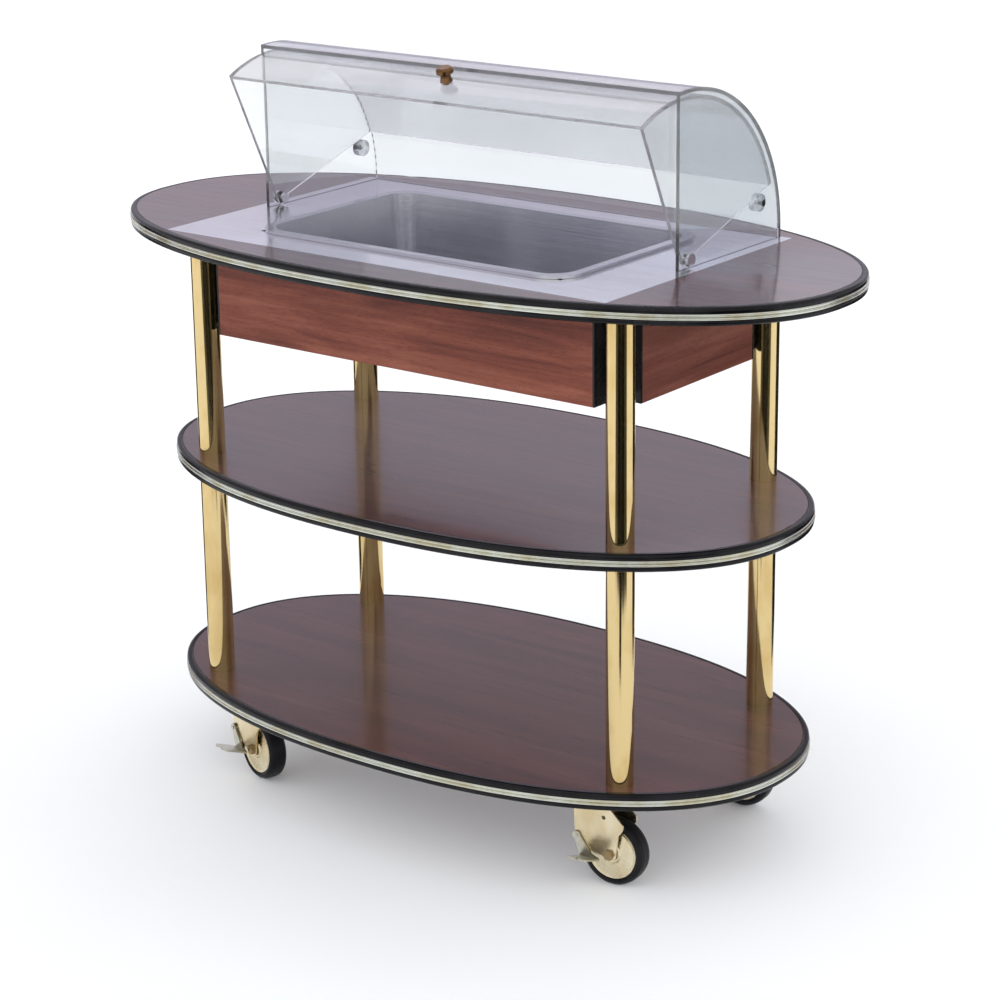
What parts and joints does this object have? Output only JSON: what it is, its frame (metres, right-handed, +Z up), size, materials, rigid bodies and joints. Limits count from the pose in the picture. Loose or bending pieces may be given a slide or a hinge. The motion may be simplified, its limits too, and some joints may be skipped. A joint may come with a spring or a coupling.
{
  "type": "serving cart with ice pan and roll-top cover",
  "caption": "Oval three-shelf serving cart on swivel casters, with an ice pan sunk in its top under a clear roll-top cover.",
  "frame": {"origin": "middle of the bounding box, on the floor", "axes": "+X along the cart, +Y towards the back of the cover, +Z up; the lid opens to the front, -Y"},
  "size_m": [1.1592, 0.5872, 1.0597],
  "materials": {
    "laminate": "gloss",
    "edge_vinyl": "satin",
    "edge_trim": "satin",
    "leg_brass": "polished",
    "zinc_hardware": "satin",
    "mahogany": "gloss",
    "corner_black": "gloss",
    "plate_steel": "polished",
    "pan_steel": "polished",
    "valve_brass": "satin",
    "lever_plastic": "gloss",
    "bright_steel": "polished",
    "clear_acrylic": "polished",
    "knob_brass": "polished",
    "caster_brass": "polished",
    "wheel_brass": "polished",
    "tyre_rubber": "matte",
    "axle_steel": "satin",
    "pedal_steel": "satin"
  },
  "bodies": {
    "cart": {"top_shelf": "laminate", "middle_shelf": "laminate", "bottom_shelf": "laminate", "top_bumper": "edge_vinyl", "middle_bumper": "edge_vinyl", "bottom_bumper": "edge_vinyl", "top_trim": "edge_trim", "middle_trim": "edge_trim", "bottom_trim": "edge_trim", "lower_leg_front_left": "leg_brass", "lower_leg_front_right": "leg_brass", "lower_leg_back_left": "leg_brass", "lower_leg_back_right": "leg_brass", "upper_leg_front_left": "leg_brass", "upper_leg_front_right": "leg_brass", "upper_leg_back_left": "leg_brass", "upper_leg_back_right": "leg_brass", "tie_rods": "zinc_hardware", "rod_nuts": "zinc_hardware", "apron_front": "mahogany", "apron_back": "mahogany", "apron_left": "mahogany", "apron_right": "mahogany", "corner_angles": "corner_black", "well_plate": "plate_steel", "dome_sheet": "clear_acrylic", "dome_end_left": "clear_acrylic", "dome_end_right": "clear_acrylic", "pivot_pins": "bright_steel", "stop_pegs": "clear_acrylic", "peg_screws": "bright_steel", "caster_plates": "caster_brass", "caster_screws": "zinc_hardware"},
    "lid": {"lid_sheet": "clear_acrylic", "lid_end_left": "clear_acrylic", "lid_end_right": "clear_acrylic", "lid_knob": "knob_brass"},
    "pan": {"ice_pan": "pan_steel", "drain_fitting": "pan_steel", "drain_valve": "valve_brass"},
    "valve_lever": {"valve_lever": "lever_plastic"},
    "caster_front_left": {"fork_front_left": "caster_brass", "axle_front_left": "axle_steel"},
    "wheel_front_left": {"wheel_front_left": "wheel_brass", "tyre_front_left": "tyre_rubber"},
    "pedal_front_left": {"brake_pedal_front_left": "pedal_steel"},
    "caster_front_right": {"fork_front_right": "caster_brass", "axle_front_right": "axle_steel"},
    "wheel_front_right": {"wheel_front_right": "wheel_brass", "tyre_front_right": "tyre_rubber"},
    "pedal_front_right": {"brake_pedal_front_right": "pedal_steel"},
    "caster_back_left": {"fork_back_left": "caster_brass", "axle_back_left": "axle_steel"},
    "wheel_back_left": {"wheel_back_left": "wheel_brass", "tyre_back_left": "tyre_rubber"},
    "caster_back_right": {"fork_back_right": "caster_brass", "axle_back_right": "axle_steel"},
    "wheel_back_right": {"wheel_back_right": "wheel_brass", "tyre_back_right": "tyre_rubber"}
  },
  "joints": [
    {"name": "lid_hinge", "type": "hinge", "parent": "cart", "child": "lid", "pos_m": [0, -0.0145, 0.832], "axis": [1, 0, 0], "range_deg": [0, 65]},
    {"name": "pan_lift", "type": "slide", "parent": "cart", "child": "pan", "axis": [0, 0, 1], "range_m": [0, 0.1]},
    {"name": "valve_turn", "type": "hinge", "parent": "pan", "child": "valve_lever", "pos_m": [-0.18, -0.008, 0.706], "axis": [0, 1, 0], "range_deg": [0, 90]},
    {"name": "swivel_front_left", "type": "hinge", "parent": "cart", "child": "caster_front_left", "pos_m": [-0.311, -0.159, 0.131], "axis": [0, 0, 1], "continuous": true},
    {"name": "roll_front_left", "type": "hinge", "parent": "caster_front_left", "child": "wheel_front_left", "pos_m": [-0.28437, -0.16765, 0.047], "axis": [0.309, 0.9511, 0], "continuous": true},
    {"name": "brake_front_left", "type": "hinge", "parent": "caster_front_left", "child": "pedal_front_left", "pos_m": [-0.33097, -0.15251, 0.0658], "axis": [0.309, 0.9511, 0], "range_deg": [0, 12]},
    {"name": "swivel_front_right", "type": "hinge", "parent": "cart", "child": "caster_front_right", "pos_m": [0.311, -0.159, 0.131], "axis": [0, 0, 1], "continuous": true},
    {"name": "roll_front_right", "type": "hinge", "parent": "caster_front_right", "child": "wheel_front_right", "pos_m": [0.33889, -0.15656, 0.047], "axis": [-0.0872, 0.9962, 0], "continuous": true},
    {"name": "brake_front_right", "type": "hinge", "parent": "caster_front_right", "child": "pedal_front_right", "pos_m": [0.29008, -0.16083, 0.0658], "axis": [-0.0872, 0.9962, 0], "range_deg": [0, 12]},
    {"name": "swivel_back_left", "type": "hinge", "parent": "cart", "child": "caster_back_left", "pos_m": [-0.311, 0.159, 0.131], "axis": [0, 0, 1], "continuous": true},
    {"name": "roll_back_left", "type": "hinge", "parent": "caster_back_left", "child": "wheel_back_left", "pos_m": [-0.28327, 0.1551, 0.047], "axis": [0.1392, 0.9903, 0], "continuous": true},
    {"name": "swivel_back_right", "type": "hinge", "parent": "cart", "child": "caster_back_right", "pos_m": [0.311, 0.159, 0.131], "axis": [0, 0, 1], "continuous": true},
    {"name": "roll_back_right", "type": "hinge", "parent": "caster_back_right", "child": "wheel_back_right", "pos_m": [0.33893, 0.16095, 0.047], "axis": [-0.0698, 0.9976, 0], "continuous": true}
  ]
}
